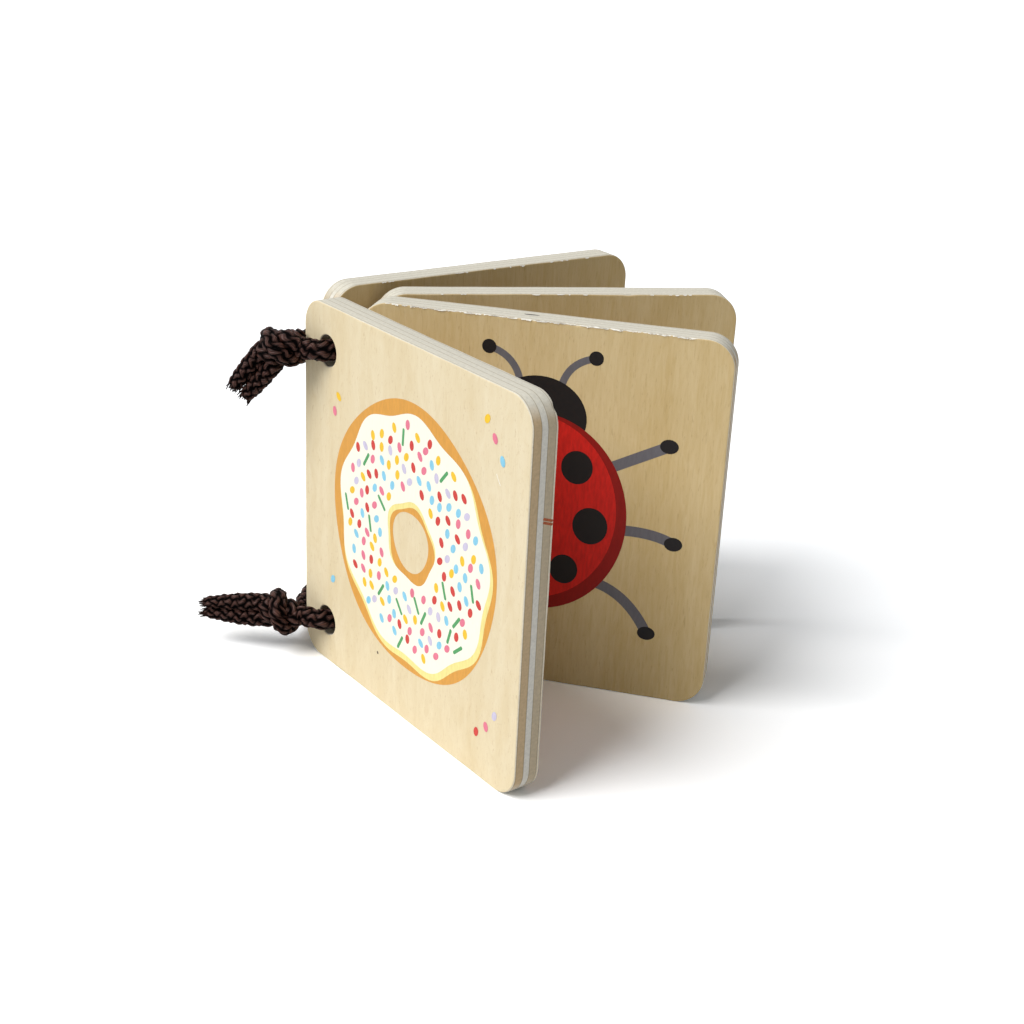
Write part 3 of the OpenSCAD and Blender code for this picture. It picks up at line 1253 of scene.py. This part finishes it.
    def braid(self, round_share: np.ndarray, far: np.ndarray) -> tuple[np.ndarray, np.ndarray]:
        """The braid's relief: two sets of strands cross at a slant, and take turns to lie on top.

        Args:
            round_share: place round the cord, from 0 to 1.
            far: distance along the cord, in millimetres.

        Returns:
            Height from 0 to 1, and the place across the strand that shows, from -0.5 to 0.5.
        """
        round_angle = TURN * round_share
        uneven = (self.wander[0] * np.sin(self.wander_rate[0] * far + round_angle)
                  + self.wander[1] * np.sin(self.wander_rate[1] * far - 2 * round_angle))
        a = self.strands * round_share + far / self.crossing + uneven
        b = self.strands * round_share - far / self.crossing + uneven
        over = (np.floor(a) + np.floor(b)) % 2 < 0.5
        fa, fb = a - np.floor(a) - 0.5, b - np.floor(b) - 0.5
        across, along = np.where(over, fa, fb), np.where(over, fb, fa)
        height = np.cos(math.pi * across) ** 0.6 * (0.45 + 0.55 * np.cos(math.pi * along))
        return height, across

    def tube(self, keep: np.ndarray) -> tuple[np.ndarray, np.ndarray, np.ndarray]:
        """The braided surface over some of the places: a ring round each, square to the cord.

        A ring's radius is half the diameter, raised and lowered by the braid, and closes in at a cut end.

        Args:
            keep: which places to cover.

        Returns:
            Points (rings by sides), strand heights and places across the strands.
        """
        ahead = np.gradient(self.line, axis=0)
        ahead /= np.linalg.norm(ahead, axis=1, keepdims=True)
        side = np.cross(ahead, [0.0, 0.0, 1.0])
        side /= np.linalg.norm(side, axis=1, keepdims=True)
        rise = np.cross(side, ahead)
        far = self.far[keep]
        share = np.arange(self.sides) / self.sides
        height, across = self.braid(share[None, :], far[:, None])
        tip = np.minimum(far, self.far[-1] - far)
        closing = np.sqrt(np.clip(1 - (1 - np.clip(tip / self.tip_l, 0, 1)) ** 2, 0.12, 1))
        r = (self.width[keep, None] / 2 + self.relief * (height - self.mean_height)) * closing[:, None]
        turn = TURN * share
        ring = (np.cos(turn)[None, :, None] * side[keep][:, None, :]
                + np.sin(turn)[None, :, None] * rise[keep][:, None, :])
        return self.line[keep][:, None, :] + r[..., None] * ring, height, across

    def fray(self, tip: np.ndarray, way: np.ndarray, rng: np.random.Generator) -> np.ndarray:
        """Loose fibres at a cut end: thin tapering bars that spread, droop and stand in two tufts.

        Args:
            tip: the end's point.
            way: the direction in which the cord ends.
            rng: picks each fibre's place and shape.

        Returns:
            Points, fibres by rings by sides.
        """
        n = self.frays
        a = rng.uniform(0, TURN, n)
        r = self.knot.tip_d * 0.5 * np.sqrt(rng.uniform(0.05, 1, n))
        side = np.cross(way, [0.0, 0.0, 1.0])
        side /= np.linalg.norm(side)
        rise = np.cross(side, way)
        out = np.cos(a)[:, None] * side + np.sin(a)[:, None] * rise
        root = tip - self.fray_root * way + r[:, None] * out
        tuft = 0.5 + 0.5 * np.sin(2 * a + rng.uniform(0, TURN))
        long = (self.fray_l[0] + self.fray_l[1] * tuft * rng.uniform(0.5, 1, n))[:, None]
        outwards, any_way = self.fray_spread
        lean = way + rng.normal(0.0, outwards, n)[:, None] * out + rng.normal(0, any_way, (n, 3))
        share = np.linspace(0, 1, 5)[None, :, None]
        droop = np.array([0, 0, -self.fray_droop])
        spine = root[:, None, :] + share * (long * lean)[:, None, :] + share ** 2 * droop
        thick = rng.uniform(*self.fray_half, n)[:, None, None] * (1 - self.fray_taper * share)
        corner = np.arange(4) * TURN / 4
        ring = np.cos(corner)[:, None] * side + np.sin(corner)[:, None] * rise
        return spine[:, :, None, :] + thick[..., None] * ring[None, None]

    def stretches(self) -> list[Stretch]:
        """Shares the cord among the hinges that it passes, in order along the cord.

        Returns:
            The stretches between the boards.
        """
        n = self.knot_points
        f, s, t, b = Leaf.FRONT_COVER, Leaf.SECOND_BOARD, Leaf.THIRD_BOARD, Leaf.BACK_COVER
        return [Stretch("front_gap", n + 2, n + 6, (f, s)),
                Stretch("middle_gap", n + 6, n + 8, (s, t)),
                Stretch("back_gap", n + 8, n + 13, (t, b)),
                Stretch("spine_back", n + 13, n + 16.6, (b, t), 0.3),
                Stretch("spine_middle", n + 16.6, n + 17.7, (t, s)),
                Stretch("spine_front", n + 17.7, n + 20, (s, f))]

    def make(self, name: str, spans: list[np.ndarray], frays: list[np.ndarray]) -> bpy.types.Object:
        """Makes one piece of cord.

        Args:
            name: the piece's name.
            spans: the places that each of its tubes covers.
            frays: the points of the loose fibres at each of its cut ends.

        Returns:
            The piece, not yet fixed to a body.
        """
        points, heights, acrosses, faces = [], [], [], []
        count = 0
        for keep in spans:
            p, height, across = self.tube(keep)
            faces += tube_faces(1, len(p), self.sides, count, closed_start=True)
            points.append(p.reshape(-1, 3))
            heights.append(height.ravel())
            acrosses.append(across.ravel())
            count += height.size
        for p in frays:
            faces += tube_faces(*p.shape[:3], count, closed_start=False)
            points.append(p.reshape(-1, 3))
            heights.append(np.full(len(points[-1]), self.fray_height))
            acrosses.append(np.zeros(len(points[-1])))
            count += len(points[-1])
        piece = make_piece(name, np.concatenate(points) * MM, faces, [self.material])
        store(piece, "strand_height", np.concatenate(heights))
        store(piece, "strand_across", np.concatenate(acrosses))
        return piece

    def build(self) -> list[bpy.types.Object]:
        """Makes the knot with its tails and front run, and each stretch between two boards.

        Returns:
            The pieces: the knot fixed to the front cover's body, and the stretches, which are fixed to no
                body.
        """
        at, line = self.at, self.line
        rng = np.random.default_rng(self.seed)
        bends = self.stretches()
        front = np.flatnonzero(at <= bends[0].first)
        back = np.flatnonzero(at >= bends[-1].last)
        joined = [np.append(front, front[-1] + 1), np.insert(back, 0, back[0] - 1)]
        frays = []
        for tip, inner in ((line[0], line[self.tip_places]), (line[-1], line[-1 - self.tip_places])):
            way = (tip - inner) / np.linalg.norm(tip - inner)
            frays.append(self.fray(tip, way, rng))
        knot = self.make(self.name + "_knot", joined, frays)
        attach(knot, Leaf.FRONT_COVER.node)
        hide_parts(self.name)
        made = [knot]
        for bend in bends:
            inside = np.flatnonzero((at >= bend.first) & (at <= bend.last))
            keep = np.arange(inside[0] - 1, inside[-1] + 2)
            piece = self.make(f"{self.name}_{bend.name}", [keep], [])
            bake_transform(piece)
            made.append(piece)
        return made


# Studio

@dataclass(frozen=True)
class View:
    """The photograph's camera, in millimetres and degrees, in a frame on the front cover's spine corner."""

    place: tuple[float, float, float] = (44.42, -321.4, 168.94)
    pitch: float = 22.755
    roll: float = 2.839
    # Heading of the front cover in the camera's own level frame
    cover_heading: float = -52.111
    focal_px: float = 1621.2
    image_px: float = 1024.0
    sensor_mm: float = 36.0

    def build(self, front: Stand) -> None:
        """Makes the camera and points it as in the photograph.

        Args:
            front: where the front cover stands.
        """
        turn = Matrix.Rotation(front.heading - math.radians(self.cover_heading), 4, "Z")
        corner = Matrix.Translation((*(front.corner * MM), 0))
        pitch, roll = math.radians(self.pitch), math.radians(self.roll)
        ahead = Vector((0, math.cos(pitch), -math.sin(pitch)))
        right = Vector((1, 0, 0))
        up = right.cross(ahead)
        tilted = math.cos(roll) * right + math.sin(roll) * up
        upward = math.cos(roll) * up - math.sin(roll) * right
        pose = Matrix((tilted, upward, -ahead)).transposed().to_4x4()
        pose.translation = Vector(self.place) * MM
        data = bpy.data.cameras.new("camera")
        data.sensor_width = self.sensor_mm
        data.lens = self.sensor_mm * self.focal_px / self.image_px
        data.clip_start = 0.01
        camera = bpy.data.objects.new("camera", data)
        camera.matrix_world = corner @ turn @ pose
        bpy.context.scene.collection.objects.link(camera)
        bpy.context.scene.camera = camera


@dataclass(frozen=True)
class Studio:
    """A white floor and surroundings, lit by one large soft lamp from the left."""

    floor_half: float = 3.0
    # The floor's brightness as it lights the book, and as the camera sees it
    floor_bounce: float = 0.8
    floor_seen: float = 1.35
    ambient: float = 0.24
    ambient_tint: str = "#F1F8FF"
    # The lamp's bearing round from straight in front to the left, its height, its width and its strength
    lamp_bearing: float = 54.0
    lamp_height: float = 50.0
    lamp_spread: float = 40.0
    lamp_strength: float = 2.95

    def floor(self) -> None:
        """Adds the floor, a matt white sheet that is brighter to the camera than to the book."""
        h = self.floor_half
        corners = np.array([[-h, -h, 0], [h, -h, 0], [h, h, 0], [-h, h, 0]])
        material, tree = new_material("matt_white_paper")
        rays = add_node(tree, "ShaderNodeLightPath")
        seen = add_node(tree, "ShaderNodeMapRange", {
            0: rays.outputs["Is Camera Ray"],
            "To Min": self.floor_bounce, "To Max": self.floor_seen}).outputs[0]
        matt = add_node(tree, "ShaderNodeBsdfDiffuse", {"Color": seen})
        add_node(tree, "ShaderNodeOutputMaterial", {"Surface": matt.outputs[0]})
        floor = make_piece("floor", corners, [Faces(np.array([[0, 1, 2, 3]]), smooth=False)], [material])

    def surroundings(self) -> None:
        """Adds light from all round: white to the camera and in reflections, dim and cool on the book."""
        world = bpy.data.worlds.new("studio")
        world.use_nodes = True
        bpy.context.scene.world = world
        tree = world.node_tree
        tree.nodes.clear()
        rays = add_node(tree, "ShaderNodeLightPath")
        shown = add_node(tree, "ShaderNodeMath", {
            0: rays.outputs["Is Camera Ray"], 1: rays.outputs["Is Glossy Ray"]},
            operation="MAXIMUM").outputs[0]
        strength = add_node(tree, "ShaderNodeMapRange", {
            0: shown, "To Min": self.ambient, "To Max": 1.0}).outputs[0]
        tint = add_node(tree, "ShaderNodeMix", {
            0: shown, 6: linear(self.ambient_tint), 7: (1, 1, 1, 1)}, data_type="RGBA").outputs[2]
        sky = add_node(tree, "ShaderNodeBackground", {"Color": tint, "Strength": strength})
        add_node(tree, "ShaderNodeOutputWorld", {"Surface": sky.outputs[0]})

    def lamp(self) -> None:
        """Adds the lamp, far off and wide, so that it lights the floor evenly and its shadows are soft."""
        data = bpy.data.lights.new("soft_lamp", "SUN")
        data.angle = math.radians(self.lamp_spread)
        data.energy = self.lamp_strength
        lamp = bpy.data.objects.new("soft_lamp", data)
        bearing, height = math.radians(self.lamp_bearing), math.radians(self.lamp_height)
        level = math.cos(height)
        towards = Vector((-math.sin(bearing) * level, -math.cos(bearing) * level, math.sin(height)))
        lamp.location = towards
        lamp.rotation_euler = towards.to_track_quat("Z", "Y").to_euler()
        bpy.context.scene.collection.objects.link(lamp)

    def build(self) -> None:
        """Makes the floor, the surrounding light and the lamp."""
        self.floor()
        self.surroundings()
        self.lamp()
        bpy.context.scene.view_settings.view_transform = "Standard"


INKS = (
    ScreenInk("crust", "#E3A348"), ScreenInk("butter", "#FBEB98"),
    ScreenInk("icing", "#FEFBEA", mottle=0.04),
    ScreenInk("red", "#D8453F"), ScreenInk("pink", "#EE7F97"), ScreenInk("yellow", "#FBCB33"),
    ScreenInk("sky", "#8FD3EE"), ScreenInk("lilac", "#D5CDE4"), ScreenInk("green", "#57A567"),
    ScreenInk("shell_red", "#D8221A", mottle=0.22), ScreenInk("deep_red", "#97140E", mottle=0.15),
    ScreenInk("black", "#1B1718"), ScreenInk("steel_grey", "#6E6B70"), ScreenInk("speck", "#5A4A3C"),
    ScreenInk("rust", "#BC6238", mottle=0.3), ScreenInk("torn_veneer", "#FFFAEE", mottle=0.05),
    # Dark ink of the crack on the second board's upper edge: painted shade in the gap
    ScreenInk("bark", "#2E2118", mottle=0.3))

# Chips on each board's front edge and on its back edge
CHIPS: dict[Leaf, tuple[list[Wear], list[Wear]]] = {
    Leaf.FRONT_COVER: ([], [Wear(146.5, 0.8, 0.6)]),
    Leaf.SECOND_BOARD: ([Wear(178.0, 1.6, 0.25), Wear(186.0, 0.8, 0.35), Wear(193.5, 2.4, 0.2),
                         Wear(203.0, 0.7, 0.4), Wear(160.0, 1.0, 0.2)], []),
    Leaf.THIRD_BOARD: ([Wear(170.0, 1.2, 0.2)], []),
    Leaf.BACK_COVER: ([], [])}


def draw_marks(fan: Fan, sizes: BookSizes, inks: dict[str, bpy.types.Material]) -> list[Picture]:
    """Draws the boards' wear: torn veneer along upper edges, a crack as a dark ink of painted shade, a rust
    bar, a speck and a scratch.

    Args:
        fan: where the boards stand.
        sizes: the book's sizes.
        inks: the materials by name.

    Returns:
        The marks, not yet built.
    """
    def on(name: str, leaf: Leaf, side: Side) -> Picture:
        """A place for marks on one side of a board."""
        return Picture(name, leaf, fan[leaf], sizes, inks, side)

    torn = on("second_board_torn_edge", Leaf.SECOND_BOARD, Side.ARRIS)
    torn.splinters(150, (4.0, 70.0), "torn_veneer", 3)
    nicks = on("third_board_torn_edge", Leaf.THIRD_BOARD, Side.ARRIS)
    nicks.splinters(12, (8.0, 68.0), "torn_veneer", 4)
    rear = on("back_cover_torn_edge", Leaf.BACK_COVER, Side.ARRIS)
    rear.splinters(16, (10.0, 66.0), "torn_veneer", 6)
    crack = on("second_board_crack", Leaf.SECOND_BOARD, Side.TOP)
    # The crack's gap is drawn as a dark ellipse of painted shade
    crack.draw(ellipse((35.2, 3.2), (1.6, 0.3), 0.05, 16), "bark", 0)
    bar = on("front_cover_rust_bar", Leaf.FRONT_COVER, Side.FORE)
    for up in (56.9, 57.6):
        bar.draw(stroke(np.linspace((3.6, up), (5.4, up - 0.65), 4), 0.5), "rust", 0)
    fleck = on("front_cover_speck", Leaf.FRONT_COVER, Side.FRONT)
    fleck.draw(ellipse((29.4, 10.8), (0.28, 0.35), 0.4, 12), "speck", 0)
    fleck.draw(stroke(curve((67.4, 63.6), (67.8, 62.8), (68.6, 61.8)), 0.16), "torn_veneer", 0)
    return [torn, nicks, rear, crack, bar, fleck]


def main() -> None:
    """Builds the camera, the boards, the pictures, the cords and the studio, and reports each piece."""
    logging.basicConfig(level=logging.INFO, format="%(message)s")
    sizes = BookSizes()
    fan = Fan(sizes)
    View().build(fan[Leaf.FRONT_COVER])
    pale = SandedPlywood(streak=(2.2, 8.0), vessel=(0.4, 1.4), wander=1.1)
    warm = SandedPlywood(light="#E3CB9B", dark="#D5B982", pore="#B08C58")
    for leaf in Leaf:
        plywood = pale if leaf is Leaf.FRONT_COVER else warm
        grain = plywood.build(leaf.node + "_sanded_plywood", fan[leaf], sizes, seed=3.1 + 5.7 * leaf.value)
        piece = Board(leaf, fan[leaf], sizes, *CHIPS[leaf]).build(grain)
        LOG.info("board %s: %d faces", piece.name, len(piece.data.polygons))
    inks = {ink.name: ink.build() for ink in INKS}
    cover = Picture("front_cover_print", Leaf.FRONT_COVER, fan[Leaf.FRONT_COVER], sizes, inks)
    IcedRing().draw(cover)
    page = Picture("second_board_print", Leaf.SECOND_BOARD, fan[Leaf.SECOND_BOARD], sizes, inks)
    Beetle().draw(page)
    for picture in (cover, page, *draw_marks(fan, sizes, inks)):
        LOG.info("print %s: %d shapes", picture.build().name, len(picture.shapes))
    braid = BraidedCord().build()
    hanging = Knot(up=sizes.board_h - sizes.hole_end, rise=0.9, lean=math.radians(36),
                   drop=math.radians(52), tail_l=10.8, tip_d=2.8)
    level = Knot(up=sizes.hole_end, rise=-0.4, lean=0.0, drop=math.radians(4), tail_l=14.6, tip_d=2.0)
    for cord in (Cord("upper_cord", hanging, fan, sizes, braid, seed=5),
                 Cord("lower_cord", level, fan, sizes, braid, seed=9)):
        for piece in cord.build():
            LOG.info("cord %s: %d faces", piece.name, len(piece.data.polygons))
    Studio().build()


if __name__ == "__main__":
    main()
